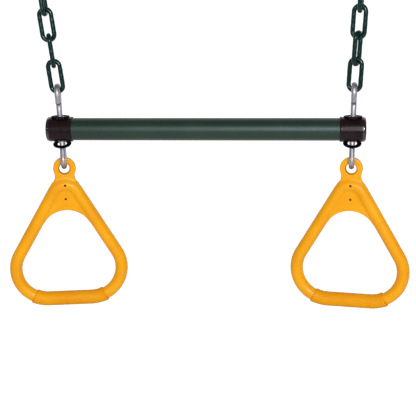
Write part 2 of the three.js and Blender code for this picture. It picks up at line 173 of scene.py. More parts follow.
def make_camera():
    back = Vector((
        math.sin(VIEW_AZIMUTH) * math.cos(VIEW_ELEVATION),
        -math.cos(VIEW_AZIMUTH) * math.cos(VIEW_ELEVATION),
        math.sin(VIEW_ELEVATION),
    ))
    level = Vector((math.cos(VIEW_AZIMUTH), math.sin(VIEW_AZIMUTH), 0))
    upright = back.cross(level)
    right = math.cos(VIEW_ROLL) * level + math.sin(VIEW_ROLL) * upright
    up = back.cross(right)
    place = BAR_CENTRE + (VIEW_TARGET + back * VIEW_DISTANCE) * MM
    data = bpy.data.cameras.new("camera")
    data.sensor_width = SENSOR_WIDTH
    data.lens = LENS_SHARE * SENSOR_WIDTH
    camera = bpy.data.objects.new("camera", data)
    facing = Matrix((right, up, back)).transposed().to_4x4()
    camera.matrix_world = Matrix.Translation(place) @ facing
    bpy.context.scene.collection.objects.link(camera)
    bpy.context.scene.camera = camera


make_camera()


# Materials

POLISH_FADE = 2.5  # over which the cap's polish sets in
PAINTED_SHADE_HEIGHT = 12  # of the stretch of wire at the bottom of a lower eye that is darkened with painted shade

# Which sockets of a mix node take the factor and the two values, and which gives the result.
MIXED_COLOURS = (0, 6, 7)
MIXED_COLOUR = 2
MIXED_VALUES = (0, 2, 3)
MIXED_VALUE = 0


def linear(code):
    """A colour written as six hex digits, as linear values with full alpha."""
    values = [int(code[i:i + 2], 16) / 255 for i in (0, 2, 4)]
    return [v / 12.92 if v <= 0.04045 else ((v + 0.055) / 1.055) ** 2.4 for v in values] + [1]


class Shader:
    """A material with a principled shader, and short ways to add nodes to it.

    The values are inputs of the principled shader, with _ in place of a space.
    """

    def __init__(self, name, **values):
        self.material = bpy.data.materials.new(name)
        self.material.use_nodes = True
        self.tree = self.material.node_tree
        self.principled = self.tree.nodes["Principled BSDF"]
        for socket, value in values.items():
            self.principled.inputs[socket.replace("_", " ")].default_value = value
        self.place = self.tree.nodes.new("ShaderNodeTexCoord").outputs["Object"]

    def node(self, kind, **values):
        made = self.tree.nodes.new("ShaderNode" + kind)
        for name, value in values.items():
            setattr(made, name, value)
        return made

    def link(self, output, target):
        self.tree.links.new(output, target)

    def stretched(self, scale):
        """The place on the piece, in millimetres, scaled along each axis."""
        mapping = self.node("Mapping")
        mapping.inputs["Scale"].default_value = [value / MM for value in scale]
        self.link(self.place, mapping.inputs["Vector"])
        return mapping.outputs["Vector"]

    def part_way(self, axis, start, end, both_ways=False):
        """How far the place has come along an axis, from 0 at start to 1 at end, both in metres."""
        apart = self.node("SeparateXYZ")
        self.link(self.place, apart.inputs["Vector"])
        reached = apart.outputs[axis]
        if both_ways:
            size = self.node("Math", operation="ABSOLUTE")
            self.link(reached, size.inputs[0])
            reached = size.outputs["Value"]
        made = self.node("MapRange")
        made.inputs["From Min"].default_value = start
        made.inputs["From Max"].default_value = end
        self.link(reached, made.inputs["Value"])
        return made.outputs["Result"]

    def noise(self, size, detail=3, stretch=(1, 1, 1), roughness=0.5):
        """Noise whose grain is about this many millimetres."""
        made = self.node("TexNoise")
        self.link(self.stretched([1 / (size * s) for s in stretch]), made.inputs["Vector"])
        made.inputs["Scale"].default_value = 1
        made.inputs["Detail"].default_value = detail
        made.inputs["Roughness"].default_value = roughness
        return made.outputs["Fac"]

    def ramp(self, factor, *stops):
        """A value or colour for each place of the factor; a stop is (place, value or colour)."""
        made = self.node("ValToRGB")
        elements = made.color_ramp.elements
        while len(elements) < len(stops):
            elements.new(1)
        for element, (place, value) in zip(elements, stops):
            element.position = place
            element.color = linear(value) if isinstance(value, str) else (value, value, value, 1)
        self.link(factor, made.inputs["Fac"])
        return made.outputs["Color"]

    def mix(self, factor, first, second):
        """The first colour where the factor is 0, and the second where it is 1."""
        made = self.node("Mix", data_type="RGBA")
        for number, value in zip(MIXED_COLOURS, (factor, first, second)):
            if isinstance(value, str):
                made.inputs[number].default_value = linear(value)
            else:
                self.link(value, made.inputs[number])
        return made.outputs[MIXED_COLOUR]

    def bump(self, height, depth, normal=None):
        """Adds relief: depth is how far a height of 1 stands out, in millimetres."""
        made = self.node("Bump")
        made.inputs["Distance"].default_value = depth * MM
        self.link(height, made.inputs["Height"])
        if normal is not None:
            self.link(normal, made.inputs["Normal"])
        self.link(made.outputs["Normal"], self.principled.inputs["Normal"])
        return made.outputs["Normal"]

    def colour(self, output):
        self.link(output, self.principled.inputs["Base Color"])

    def rough(self, output):
        self.link(output, self.principled.inputs["Roughness"])


def yellow_plastic():
    """Moulded plastic. Shade is painted into its colour from a point attribute, which is 1 deep in the
    dimples and less on the wall of the lug's hole.
    """
    shader = Shader("yellow_plastic", IOR=1.32, Coat_Weight=0.15, Coat_Roughness=0.17, Coat_IOR=1.5)
    broad = shader.ramp(shader.noise(38, 2), (0.3, "f0a000"), (0.7, "faaf00"))
    mottle = shader.noise(3.4, 5, roughness=0.65)
    plain = shader.mix(shader.ramp(mottle, (0.35, 0), (0.75, 0.5)), broad, "ea9700")
    # Painted shade: the colour turns dark brown as the attribute rises.
    painted_shade_factor = shader.node("Attribute", attribute_name="painted_shade").outputs["Fac"]
    shader.colour(shader.mix(painted_shade_factor, plain, "481200"))
    shader.rough(shader.ramp(shader.noise(9, 4), (0.3, 0.3), (0.7, 0.42)))
    waves = shader.bump(shader.noise(14, 2), 0.25)
    shader.bump(shader.noise(0.9, 3), 0.03, waves)
    return shader.material


def grip_plastic():
    shader = Shader("grip_plastic", IOR=1.25)
    broad = shader.ramp(shader.noise(30, 2), (0.3, "e89600"), (0.7, "f1a404"))
    streaks = shader.noise(1.6, 4, stretch=(14, 1, 1))
    shader.colour(shader.mix(shader.ramp(streaks, (0.4, 0), (0.72, 0.5)), broad, "dc8b00"))
    shader.rough(shader.ramp(streaks, (0.3, 0.42), (0.7, 0.58)))
    shader.bump(streaks, 0.14)
    return shader.material


def powder_coat():
    shader = Shader("green_powder_coat", IOR=1.56, Specular_Tint=(0.82, 0.94, 1, 1))
    cloud = shader.ramp(shader.noise(60, 2), (0.3, "152b1e"), (0.7, "1b3325"))
    speck = shader.noise(1.1, 4, roughness=0.7)
    shader.colour(shader.mix(shader.ramp(speck, (0.45, 0), (0.7, 0.5)), cloud, "243c31"))
    shader.rough(shader.ramp(shader.noise(5, 3), (0.3, 0.36), (0.7, 0.46)))
    shader.bump(shader.noise(1.5, 3), 0.04)
    return shader.material


def soft_coating():
    shader = Shader("green_soft_coating", IOR=1.5, Specular_Tint=(0.6, 0.95, 0.92, 1))
    shader.colour(shader.ramp(shader.noise(11, 3), (0.3, "021a16"), (0.7, "062926")))
    shader.rough(shader.ramp(shader.noise(4, 3), (0.3, 0.1), (0.7, 0.24)))
    runs = shader.bump(shader.noise(7, 2, stretch=(1, 1, 2.5)), 0.5)
    shader.bump(shader.noise(2.2, 2), 0.03, runs)
    return shader.material


def zinc():
    """Zinc plate with drawing marks, darkened at the bottom of the lower eyes with painted shade and a
    painted brown reflection of the rings.
    """
    shader = Shader("zinc_plate", Metallic=1.0)
    drawn = shader.noise(0.7, 4, stretch=(1, 1, 22))
    tint = shader.ramp(shader.noise(7, 4), (0.3, "bdb6bf"), (0.7, "d9d8e2"))
    plain = shader.mix(shader.ramp(drawn, (0.45, 0), (0.75, 0.6)), tint, "8c8188")
    # Painted shade: the wire turns brown grey towards the bottom of each lower eye.
    bottom = BAR_CENTRE.z - (LOWER_EYE_DROP + EYE_BEND + ROD_WIRE / 2) * MM
    down = shader.part_way("Z", bottom + PAINTED_SHADE_HEIGHT * MM, bottom)
    shader.colour(shader.mix(shader.ramp(down, (0, 0), (0.6, 0.6), (1, 0.85)), plain, "6a5340"))
    shader.rough(shader.ramp(shader.noise(2.6, 4), (0.3, 0.44), (0.7, 0.6)))
    shader.bump(drawn, 0.04)
    return shader.material


def cut_steel():
    shader = Shader("cut_wire_end", Roughness=0.55, Metallic=0.6)
    shader.colour(shader.ramp(shader.noise(1.2, 4), (0.3, "4e3a34"), (0.7, "8a7470")))
    shader.bump(shader.noise(0.6, 3, stretch=(1, 5, 1)), 0.12)
    return shader.material


def vinyl():
    """Soft vinyl, polished in a band where the cap's end starts to round over."""
    shader = Shader("brown_black_vinyl", IOR=1.3, Specular_Tint=(1, 0.9, 0.98, 1),
                    Coat_Roughness=0.08, Coat_IOR=1.9)
    start = (BAR_LENGTH / 2 - CAP_ROUNDING - POLISH_FADE) * MM
    outward = shader.part_way("X", start, BAR_LENGTH / 2 * MM, both_ways=True)
    band = shader.ramp(outward, (0, 0), (0.45, 1), (0.6, 1), (0.85, 0))
    shader.link(band, shader.principled.inputs["Coat Weight"])
    shader.colour(shader.ramp(shader.noise(16, 3), (0.3, "160b0d"), (0.7, "211417")))
    shader.rough(shader.ramp(shader.noise(5, 4), (0.3, 0.2), (0.7, 0.32)))
    ribs = shader.bump(shader.noise(4.5, 2, stretch=(9, 1, 1)), 0.5)
    shader.bump(shader.noise(1.6, 2), 0.02, ribs)
    return shader.material


def black_gloss():
    shader = Shader("black_washer", IOR=1.2, Specular_IOR_Level=0.25)
    shader.colour(shader.ramp(shader.noise(5, 3), (0.3, "020206"), (0.7, "070810")))
    shader.rough(shader.ramp(shader.noise(2, 4), (0.3, 0.5), (0.7, 0.7)))
    shader.bump(shader.noise(1.4, 3), 0.03)
    return shader.material


MATERIALS = {
    "ring": yellow_plastic(),
    "grip": grip_plastic(),
    "tube": powder_coat(),
    "chain": soft_coating(),
    "zinc": zinc(),
    "cut": cut_steel(),
    "cap": vinyl(),
    "washer": black_gloss(),
}


# Meshes

SAME_PLACE = 1e-6  # points of a line that are closer than this are one
MERGE_DISTANCE = 0.001  # points of a mesh that are closer than this are one
AXIS_RADIUS = 0.001  # of the innermost points of a cutter, which can't lie on its axis
CUTTER_SIDES = 48
BEND_PIECES = 6  # straight pieces in a smooth bend
SHARP_ANGLES = {  # in degrees, from which an edge isn't smoothed
    "tube": 40, "cap": 50, "ring": 50, "grip": 50, "washer": 60, "chain": 60, "zinc": 60,
}


def arc(centre, radius, start, end, step):
    """Points along an arc in a plane, both ends included."""
    count = max(2, math.ceil(abs(end - start) * radius / step))
    angles = np.linspace(start, end, count + 1)
    return np.column_stack((centre[0] + radius * np.cos(angles), centre[1] + radius * np.sin(angles)))


def smooth_bend(start, corner, end):
    """A parabola from start to end that leaves and arrives along the corner's two sides."""
    t = np.linspace(0, 1, BEND_PIECES + 1)[:, None]
    return (1 - t) ** 2 * np.array(start) + 2 * t * (1 - t) * np.array(corner) + t ** 2 * np.array(end)


def route(*pieces, step, closed=False):
    """One even line of points through these stretches, joined by straight lines."""
    points = np.vstack([np.atleast_2d(piece) for piece in pieces])
    if closed:
        points = np.vstack((points, points[:1]))
    lengths = np.linalg.norm(np.diff(points, axis=0), axis=1)
    apart = lengths > SAME_PLACE
    points = points[np.concatenate(([True], apart))]
    places = np.concatenate(([0], np.cumsum(lengths[apart])))
    count = math.ceil(places[-1] / step)
    evenly = np.linspace(0, places[-1], count + 1)
    if closed:
        evenly = evenly[:-1]
    return np.column_stack([np.interp(evenly, places, points[:, axis]) for axis in (0, 1)])


def directions(line, closed=False):
    """The unit direction of a line at each of its points."""
    if closed:
        along = np.roll(line, -1, axis=0) - np.roll(line, 1, axis=0)
    else:
        along = np.gradient(line, axis=0)
    return along / np.linalg.norm(along, axis=1)[:, None]


def in_space(points):
    """Points of the XZ plane in space."""
    return np.column_stack((points[:, 0], np.zeros(len(points)), points[:, 1]))


def spokes_round(along, turns):
    """Unit spokes at these turns, in the plane square to each direction."""
    out = in_space(np.column_stack((-along[:, 1], along[:, 0])))
    spokes = out[:, None] * np.cos(turns)[None, :, None]
    return spokes + np.array((0, 1, 0))[None, None] * np.sin(turns)[None, :, None]


def sweep(line, radius, sides, closed=False, chamfer=0.0):
    """A round bar along a line in the XZ plane; radius is one value or one for each point."""
    radius = np.broadcast_to(np.asarray(radius, float), len(line)).copy()
    along = directions(line, closed)
    if chamfer:
        first, last = along[:1] * chamfer, along[-1:] * chamfer
        line = np.vstack((line[:1], line[:1] + first, line[1:-1], line[-1:] - last, line[-1:]))
        along = np.vstack((along[:1], along, along[-1:]))
        radius = np.concatenate(([radius[0] - chamfer], radius, [radius[-1] - chamfer]))
    spokes = spokes_round(along, np.linspace(0, 2 * math.pi, sides, endpoint=False))
    verts = (in_space(line)[:, None] + spokes * radius[:, None, None]).reshape(-1, 3)
    return verts, ring_faces(len(line), sides, closed)


def ring_faces(rings, sides, closed):
    """Faces between rings of points, with a flat cap at each open end."""
    faces = []
    for i in range(rings if closed else rings - 1):
        low, high = i * sides, (i + 1) % rings * sides
        for j in range(sides):
            k = (j + 1) % sides
            faces.append((low + j, low + k, high + k, high + j))
    if not closed:
        faces.append(tuple(range(sides))[::-1])
        faces.append(tuple(range((rings - 1) * sides, rings * sides)))
    return faces


def lathe(profile, sides):
    """A body of revolution about Z, from a closed outline of (radius, height) points."""
    turns = np.linspace(0, 2 * math.pi, sides, endpoint=False)
    rings = [
        np.column_stack((radius * np.cos(turns), radius * np.sin(turns), np.full(sides, height)))
        for radius, height in profile
    ]
    return np.vstack(rings), ring_faces(len(profile), sides, closed=True)


def mesh_of(name, verts, faces):
    """A mesh in metres from points in millimetres, with its faces turned outward."""
    mesh = bpy.data.meshes.new(name)
    mesh.from_pydata((np.asarray(verts) * MM).tolist(), [], faces)
    tidy = bmesh.new()
    tidy.from_mesh(mesh)
    bmesh.ops.remove_doubles(tidy, verts=tidy.verts, dist=MERGE_DISTANCE * MM)
    bmesh.ops.recalc_face_normals(tidy, faces=tidy.faces)
    tidy.to_mesh(mesh)
    tidy.free()
    return mesh


def body_of(node):
    return next(body for body, nodes in frame["record"]["behaviour"]["bodies"].items() if node in nodes)


def put(node, mesh, place, slot):
    """Puts a mesh at its place in the scene, instead of the node, riding on the node's body."""
    mesh.transform(place)
    for polygon in mesh.polygons:
        polygon.use_smooth = True
    mesh.set_sharp_from_angle(angle=math.radians(SHARP_ANGLES[slot]))
    piece = bpy.data.objects.new(node + "_shape", mesh)
    bpy.context.scene.collection.objects.link(piece)
    mesh.materials.append(MATERIALS[slot])
    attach(piece, body_of(node))
    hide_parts(node)


def shifted(x=0, y=0, z=0):
    return Matrix.Translation(Vector((x, y, z)) * MM)


def turned(angle, axis):
    return Matrix.Rotation(angle, 4, axis)


def cut(mesh, *cutters):
    """A copy of a mesh with closed cutter meshes taken away, all in the same place."""
    scene = bpy.context.scene.collection
    body = bpy.data.objects.new("cut_body", mesh)
    scene.objects.link(body)
    helpers = []
    for cutter in cutters:
        helper = bpy.data.objects.new("cut_helper", cutter)
        scene.objects.link(helper)
        helpers.append(helper)
        modifier = body.modifiers.new("cut", "BOOLEAN")
        modifier.operation = "DIFFERENCE"
        modifier.solver = "EXACT"
        modifier.object = helper
    bpy.context.view_layer.update()
    graph = bpy.context.evaluated_depsgraph_get()
    result = bpy.data.meshes.new_from_object(body.evaluated_get(graph))
    for helper in (body, *helpers):
        bpy.data.objects.remove(helper)
    return result


def post(name, radius, low, high):
    """A plain upright cutter."""
    profile = [(AXIS_RADIUS, low), (radius, low), (radius, high), (AXIS_RADIUS, high)]
    return mesh_of(name, *lathe(profile, CUTTER_SIDES))


# The bar

TUBE_EDGE = 0.3  # the bevel of the tube's edges
TUBE_SIDES = 128


def tube_mesh():
    end = BAR_LENGTH / 2 - CAP_END - RUNNING_GAP
    inner = TUBE_RADIUS - TUBE_WALL
    edge = TUBE_EDGE
    profile = [
        (inner, -end + edge), (inner + edge, -end), (TUBE_RADIUS - edge, -end), (TUBE_RADIUS, -end + edge),
        (TUBE_RADIUS, end - edge), (TUBE_RADIUS - edge, end), (inner + edge, end), (inner, end - edge),
    ]
    mesh = mesh_of("bar_tube_shape", *lathe(profile, TUBE_SIDES))
    mesh.transform(turned(math.pi / 2, "Y"))
    reach = CAP_RADIUS + CAP_WALL
    cutters = []
    for side in SIDES.values():
        cutter = post("tube_hole", ROD_WIRE / 2 + TUBE_HOLE_PLAY, -reach, reach)
        cutter.transform(shifted(side["rod_x"]))
        cutters.append(cutter)
    return cut(mesh, *cutters)


CAP_STEP = 0.9
CAP_SIDES = 128
CAP_ROUNDING_STEP = 0.5
CAP_FACE_RINGS = 12
CAP_AXIS_RADIUS = 0.01  # of the innermost points of its end, inside and outside
LIP_FLARE = 0.3  # how far the cap's soft open edge stands out
LIP_LENGTH = 3.5
LIP_END = -0.2  # the angle, in radians, at which the lip's round edge meets the wall
LIP_STEP = 0.3
SEAT_SOFTNESS = 2.2  # over which the flat under the washer runs out


def cap_mesh(side):
    """A cup over the tube's end, made along Z from its open edge to its rounded end, then laid along X."""
    open_edge = BAR_LENGTH / 2 - CAP_LENGTH
    end = BAR_LENGTH / 2
    count = int((CAP_LENGTH - CAP_ROUNDING) / CAP_STEP)
    wall = []
    for place in np.linspace(open_edge + CAP_WALL / 2, end - CAP_ROUNDING, count):
        flare = LIP_FLARE * max(0, 1 - (place - open_edge) / LIP_LENGTH) ** 2
        wall.append((CAP_RADIUS + flare, place))
    lip_centre = (CAP_RADIUS + LIP_FLARE - CAP_WALL / 2, open_edge + CAP_WALL / 2)
    lip = arc(lip_centre, CAP_WALL / 2, -math.pi, LIP_END, LIP_STEP)
    flat_radius = CAP_RADIUS - CAP_ROUNDING
    rounding = arc((flat_radius, end - CAP_ROUNDING), CAP_ROUNDING, 0, math.pi / 2, CAP_ROUNDING_STEP)
    face = [(radius, end) for radius in np.linspace(flat_radius, CAP_AXIS_RADIUS, CAP_FACE_RINGS)[1:]]
    inside = [
        (CAP_AXIS_RADIUS, end - CAP_END),
        (CAP_BORE_RADIUS, end - CAP_END),
        (CAP_BORE_RADIUS, open_edge + CAP_WALL),
    ]
    profile = [*inside, *lip.tolist(), *wall, *rounding[1:].tolist(), *face]
    verts, faces = lathe(profile, CAP_SIDES)
    verts = np.column_stack((verts[:, 2], verts[:, 1], -verts[:, 0]))
    if side["sign"] < 0:
        verts[:, 0] *= -1
    # The washer has pressed a soft flat into the crest.
    away = np.hypot(verts[:, 0] - side["rod_x"], verts[:, 1])
    pressed = np.clip((WASHER_DIAMETER / 2 + SEAT_SOFTNESS - away) / SEAT_SOFTNESS, 0, 1)
    pressed = pressed ** 2 * (3 - 2 * pressed)
    over = np.clip(verts[:, 2] - SEAT_HEIGHT, 0, None)
    verts[:, 2] -= pressed * over
    mesh = mesh_of("cap_shape", verts, faces)
    hole = post("rod_hole", ROD_WIRE / 2 + RUNNING_GAP, -2 * CAP_RADIUS, 2 * CAP_RADIUS)
    hole.transform(shifted(side["rod_x"]) @ turned(side["sign"] * side["rod_lean"], "Y"))
    return cut(mesh, hole)


WASHER_EDGE = 0.4
WASHER_EDGE_STEP = 0.15
WASHER_SIDES = 96


def washer_mesh():
    """A flat ring round Z with rounded edges, whose four quarter turns start at the outer lower one."""
    outer = WASHER_DIAMETER / 2 - WASHER_EDGE
    inner = ROD_WIRE / 2 + WASHER_PLAY + WASHER_EDGE
    height = WASHER_THICKNESS / 2 - WASHER_EDGE
    quarter = math.pi / 2
    profile = []
    for number, centre in enumerate(((outer, -height), (outer, height), (inner, height), (inner, -height))):
        start = (number - 1) * quarter
        profile += arc(centre, WASHER_EDGE, start, start + quarter, WASHER_EDGE_STEP).tolist()
    return mesh_of("washer_shape", *lathe(profile, WASHER_SIDES))


# The rods, the links and the hooks

def rod_place(side):
    """The rod's own place in the bar, from which it leans and turns as the photo shows."""
    lean = turned(side["sign"] * side["rod_lean"], "Y")
    middle = Matrix.Translation(BAR_CENTRE) @ shifted(side["rod_x"])
    return middle @ lean @ shifted(z=side["rod_rise"]) @ turned(side["rod_turn"], "Z")


WIRE_SIDES = 40
WIRE_STEP = 0.8
WIRE_ARC_STEP = 0.4
CUT_CHAMFER = 0.7
CUT_REACH = 4.6  # how far the bare look runs from the middle of a cut end


def touch_angle(offset, distance):
    """Where a straight leg from a wire's end touches an eye's bend, past the horizontal."""
    leg = math.sqrt(offset ** 2 + distance ** 2 - EYE_BEND ** 2)
    return math.atan2(distance, offset) - math.atan2(leg, EYE_BEND)


def rod_line():
    """The rod's centre line seen from the side: the back is positive, and it starts at the upper cut end."""
    upper, lower = UPPER_EYE_HEIGHT, -LOWER_EYE_DROP
    upper_lean = math.asin(EYE_BEND / UPPER_BEND_DROP)
    lower_lean = math.asin(EYE_BEND / LOWER_BEND_RISE)
    upper_bend, lower_bend = upper - UPPER_BEND_DROP, lower + LOWER_BEND_RISE
    soft = NECK_SOFTNESS
    upper_touch = touch_angle(UPPER_END_OFFSET, UPPER_END_DROP)
    lower_touch = touch_angle(LOWER_END_OFFSET, LOWER_END_RISE)
    return route(
        (-UPPER_END_OFFSET, upper - UPPER_END_DROP),
        arc((0, upper), EYE_BEND, math.pi + upper_touch, -upper_lean, WIRE_ARC_STEP),
        smooth_bend(
            (soft * math.sin(upper_lean), upper_bend + soft * math.cos(upper_lean)),
            (0, upper_bend),
            (0, upper_bend - soft),
        ),
        smooth_bend(
            (0, lower_bend + soft),
            (0, lower_bend),
            (-soft * math.sin(lower_lean), lower_bend - soft * math.cos(lower_lean)),
        ),
        arc((0, lower), EYE_BEND, math.pi - lower_lean, 2 * math.pi + lower_touch, WIRE_ARC_STEP),
        (LOWER_END_OFFSET, lower + LOWER_END_RISE),
        step=WIRE_STEP,
    )


def hook_line():
    """A hook's S, from its upper tip to its lower one. The lowest point of the wire's line is at nought."""
    return route(
        arc((0, 3 * HOOK_BEND), HOOK_BEND, HOOK_UPPER_TIP, -math.pi / 2, WIRE_ARC_STEP),
        arc((0, HOOK_BEND), HOOK_BEND, math.pi / 2, HOOK_LOWER_TIP, WIRE_ARC_STEP),
        step=WIRE_STEP,
    )


def put_wire(node, line, diameter, place):
    """Puts a bent wire in place. The faces near its two cut ends get the look of bare cut steel."""
    mesh = mesh_of(node + "_shape", *sweep(line, diameter / 2, WIRE_SIDES, chamfer=CUT_CHAMFER))
    put(node, mesh, place, "zinc")
    mesh.materials.append(MATERIALS["cut"])
    ends = [place @ (Vector((x, 0, z)) * MM) for x, z in (line[0], line[-1])]
    for polygon in mesh.polygons:
        if any((polygon.center - end).length < CUT_REACH * MM for end in ends):
            polygon.material_index = 1


LINK_STEP = 0.9
LINK_ARC_STEP = 0.3
LINK_SIDES = 36
LINK_WAVER = 0.12  # how unevenly thick the coating is
LINK_WAVES = (2, 3, 5, 8, 13)  # how often it swells, round the link


def link_mesh(seed):
    """One link, with a coating that is a little uneven along it."""
    straight = LINK_REACH - LINK_BEND
    quarter = math.pi / 2
    line = route(
        arc((0, straight), LINK_BEND, quarter, 2 * quarter, LINK_ARC_STEP),
        arc((0, -straight), LINK_BEND, 2 * quarter, 4 * quarter, LINK_ARC_STEP),
        arc((0, straight), LINK_BEND, 0, quarter, LINK_ARC_STEP),
        step=LINK_STEP, closed=True,
    )
    generator = np.random.default_rng(seed)
    places = np.linspace(0, 2 * math.pi, len(line), endpoint=False)
    swell = 0
    for waves in LINK_WAVES:
        depth = generator.uniform(-LINK_WAVER, LINK_WAVER) / 2
        swell = swell + depth * np.sin(waves * places + generator.uniform(0, 2 * math.pi))
    return mesh_of("link_shape", *sweep(line, LINK_WIRE / 2 - LINK_WAVER + swell, LINK_SIDES, closed=True))


# The ring, as a smooth blend of solids given by their distances

def distance_to_arc(x, z, centre, radius, start, end):
    """Distance in the plane to an arc that runs from start to end, with end above start."""
    dx, dz = x - centre[0], z - centre[1]
    middle = (start + end) / 2
    half = (end - start) / 2
    angle = np.abs((np.arctan2(dz, dx) - middle + math.pi) % (2 * math.pi) - math.pi)
    on_arc = np.abs(np.hypot(dx, dz) - radius)
    ends = [
        np.hypot(dx - radius * math.cos(a), dz - radius * math.sin(a)) for a in (start, end)
    ]
    return np.where(angle <= half, on_arc, np.minimum(*ends))


def distance_to_line(x, z, start, end):
    start, end = np.array(start), np.array(end)
    run = end - start
    share = ((x - start[0]) * run[0] + (z - start[1]) * run[1]) / (run @ run)
    share = np.clip(share, 0, 1)
    return np.hypot(x - start[0] - share * run[0], z - start[1] - share * run[1])


def on_circle(centre, radius, angle):
    return centre[0] + radius * math.cos(angle), centre[1] + radius * math.sin(angle)


def blend(first, second, softness):
    """The union of two solids with a hollow fillet of about this size."""
    share = np.clip(0.5 + 0.5 * (second - first) / softness, 0, 1)
    return second + (first - second) * share - softness * share * (1 - share)


def plate(outline, y, half, rounding):
    """A plate with rounded edges from the distance to its outline in the plane."""
    inward = np.maximum(outline + rounding, 0)
    outward = np.maximum(np.abs(y) - half + rounding, 0)
    inside = np.minimum(np.maximum(outline, np.abs(y) - half), 0)
    return np.where(inward + outward > 0, np.hypot(inward, outward) - rounding, inside)


LUG_EDGE = 1.6
WEB_EDGE = 2.2
WEB_CREASE = 1.6
LUG_CREASE = 3.2
SEAM_SHIFT = 1  # by which each end of the grip runs on towards the limb
SEAM_SLANT = 0.75  # what it runs on more at the ring's outer side, and less at its inner side
HANDLE_OVERLAP = 0.2  # by which the bar in the grip runs on into the limbs, in radians
CROWN = (0, -APEX_CENTRE_DROP)  # the middle of the bend over the opening
CORNER = (CORNER_X, -CORNER_DROP)  # the middle of the right lower bend
GRIP_END = -math.pi / 2 + GRIP_TURN  # the angle on that bend where the grip ends


def limbs_distance(across, y, z):
    """The round limbs, from the crown down the sides to the grip's slanted ends."""
    side_start = on_circle(CROWN, APEX_BEND, SIDE_ANGLE)
    side_end = on_circle(CORNER, CORNER_BEND, SIDE_ANGLE)
    line = np.minimum(
        distance_to_arc(across, z, CROWN, APEX_BEND, SIDE_ANGLE, math.pi / 2),
        distance_to_line(across, z, side_start, side_end),
    )
    line = np.minimum(line, distance_to_arc(across, z, CORNER, CORNER_BEND, GRIP_END, SIDE_ANGLE))
    limbs = np.hypot(line, y) - LIMB_RADIUS
    turn = np.arctan2(z - CORNER[1], across - CORNER[0])
    inward = (CORNER_BEND - np.hypot(z - CORNER[1], across - CORNER[0])) / LIMB_RADIUS
    past = (GRIP_END - turn) * CORNER_BEND + SEAM_SHIFT - SEAM_SLANT * inward
    return np.where(z < CORNER[1], np.maximum(limbs, past), limbs)


def handle_distance(across, y, z):
    """The thinner bar inside the grip."""
    bend = distance_to_arc(across, z, CORNER, CORNER_BEND, -math.pi / 2, GRIP_END + HANDLE_OVERLAP)
    straight = distance_to_line(across, z, (0, -HANDLE_DROP), (CORNER_X, -HANDLE_DROP))
    return np.hypot(np.minimum(bend, straight), y) - HANDLE_DIAMETER / 2


def web_distance(across, y, z):
    """The thin web between the limbs, from the crown down to the opening."""
    cos, sin = math.cos(SIDE_ANGLE), math.sin(SIDE_ANGLE)
    within_crown = np.hypot(across, z - CROWN[1]) - APEX_BEND
    within_sides = across * cos + (z - CROWN[1]) * sin - APEX_BEND
    inside = np.where(z > CROWN[1] + APEX_BEND * sin, within_crown, within_sides)
    opening = OPENING_BEND - np.hypot(across, z + OPENING_CENTRE_DROP)
    below = across * sin - (z + OPENING_CENTRE_DROP) * cos
    return plate(np.maximum(np.maximum(inside, opening), below), y, WEB_THICKNESS / 2, WEB_EDGE)


def hole_radius(y):
    """The radius of the lug's hole, which flares in an arc towards both faces."""
    half = LUG_THICKNESS / 2
    curve = (half ** 2 + LUG_HOLE_FLARE ** 2) / (2 * LUG_HOLE_FLARE)
    return LUG_HOLE_RADIUS + curve - np.sqrt(np.maximum(curve ** 2 - np.minimum(np.abs(y), half) ** 2, 0))


def ring_distance(x, y, z):
    """The whole ring, with the middle of its lug's hole at nought."""
    across = np.abs(x)
    bars = np.minimum(limbs_distance(across, y, z), handle_distance(across, y, z))
    body = blend(bars, web_distance(across, y, z), WEB_CREASE)
    body = blend(body, plate(lug_outline(across, z), y, LUG_THICKNESS / 2, LUG_EDGE), LUG_CREASE)
    body = np.maximum(body, hole_radius(y) - np.hypot(x, z))
    for drop, surface in ((UPPER_DIMPLE_DROP, LIMB_RADIUS), (LOWER_DIMPLE_DROP, WEB_THICKNESS / 2)):
        hole = DIMPLE_DIAMETER / 2 - np.hypot(x, z + drop)
        bottom = y + surface - DIMPLE_DEPTH
        body = np.maximum(body, np.minimum(hole, -bottom))
    return body


def fillet_centre():
    """The middle of the hollow fillet on the right, between the lug and the crown."""
    from_hole = LUG_RADIUS + LUG_FILLET
    from_crown = APEX_BEND + LIMB_RADIUS + LUG_FILLET
    height = (from_crown ** 2 - from_hole ** 2 - APEX_CENTRE_DROP ** 2) / (2 * APEX_CENTRE_DROP)
    return math.sqrt(from_hole ** 2 - height ** 2), height


def lug_outline(across, z):
    """Distance in the plane to the lug and its neck, down to the crown."""
    out, height = fillet_centre()
    round_lug = np.hypot(across, z) - LUG_RADIUS
    hollow = LUG_FILLET - np.hypot(across - out, z - height)
    upper_edge = (z * out - across * height) / math.hypot(out, height)
    lower = height + APEX_CENTRE_DROP
    lower_edge = (across * lower - (z + APEX_CENTRE_DROP) * out) / math.hypot(out, lower)
    neck = np.maximum(np.maximum(hollow, upper_edge), lower_edge)
    neck = np.maximum(neck, -(z + APEX_CENTRE_DROP - APEX_BEND))
    return np.minimum(round_lug, neck)


def corner_of(array, offset):
    """The values at one corner of every grid cell; each offset is 0 or 1."""
    return array[tuple(slice(first, first + size - 1) for first, size in zip(offset, array.shape))]


def crossings(values):
    """How often the surface crosses the edges of each grid cell, and the middle of those places in it."""
    shape = np.array(values.shape) - 1
    total = np.zeros((*shape, 3))
    count = np.zeros(shape)
    for start in itertools.product((0, 1), repeat=3):
        for axis in range(3):
            if start[axis]:
                continue
            end = [*start]
            end[axis] = 1
            a, b = corner_of(values, start), corner_of(values, end)
            crossing = (a < 0) != (b < 0)
            share = np.where(crossing, a / np.where(crossing, a - b, 1), 0)
            for part in range(3):
                offset = start[part] + (share if part == axis else 0)
                total[..., part] += np.where(crossing, offset, 0)
            count += crossing
    return count, total / np.maximum(count, 1)[..., None]


